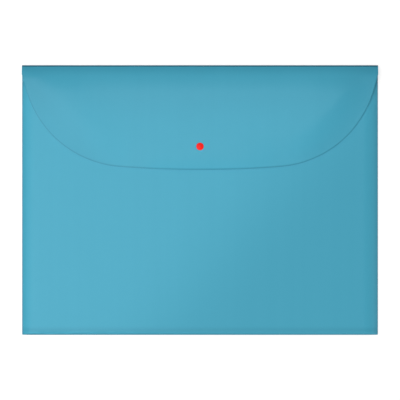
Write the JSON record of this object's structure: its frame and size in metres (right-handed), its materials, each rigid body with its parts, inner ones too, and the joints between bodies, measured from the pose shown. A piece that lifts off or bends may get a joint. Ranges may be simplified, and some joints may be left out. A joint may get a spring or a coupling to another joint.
{
  "type": "document wallet",
  "caption": "Landscape wallet for loose A4 papers, of folded and side-welded polypropylene sheet, with a wide round-cornered flap on a creased spine and a small press stud that holds it shut.",
  "frame": {"origin": "middle of the back panel's outer face, which the wallet lies on", "axes": "+X across the wallet, +Y from the bottom fold to the top fold, +Z out of the front"},
  "size_m": [0.33, 0.25, 0.0098],
  "materials": {
    "sheet": "satin extruded polypropylene sheet, calm blue",
    "snap": "moulded red plastic"
  },
  "bodies": {
    "pocket": {"back_panel": "sheet", "bottom_fold": "sheet", "front_panel": "sheet", "left_weld": "sheet", "right_weld": "sheet", "snap_stud": "snap", "snap_base": "snap"},
    "spine": {"spine": "sheet", "rear_crease": "sheet"},
    "flap": {"flap": "sheet", "front_crease": "sheet", "snap_cap": "snap", "snap_socket": "snap"}
  },
  "joints": [
    {"name": "rear_crease_fold", "type": "hinge", "parent": "pocket", "child": "spine", "pos_m": [0, 0.12475, 0.00025], "axis": [-1, 0, 0], "range_deg": [0, 90], "deforming": ["rear_crease"]},
    {"name": "front_crease_fold", "type": "hinge", "parent": "spine", "child": "flap", "pos_m": [0, 0.12475, 0.00385], "axis": [-1, 0, 0], "range_deg": [0, 72], "deforming": ["front_crease"]}
  ]
}
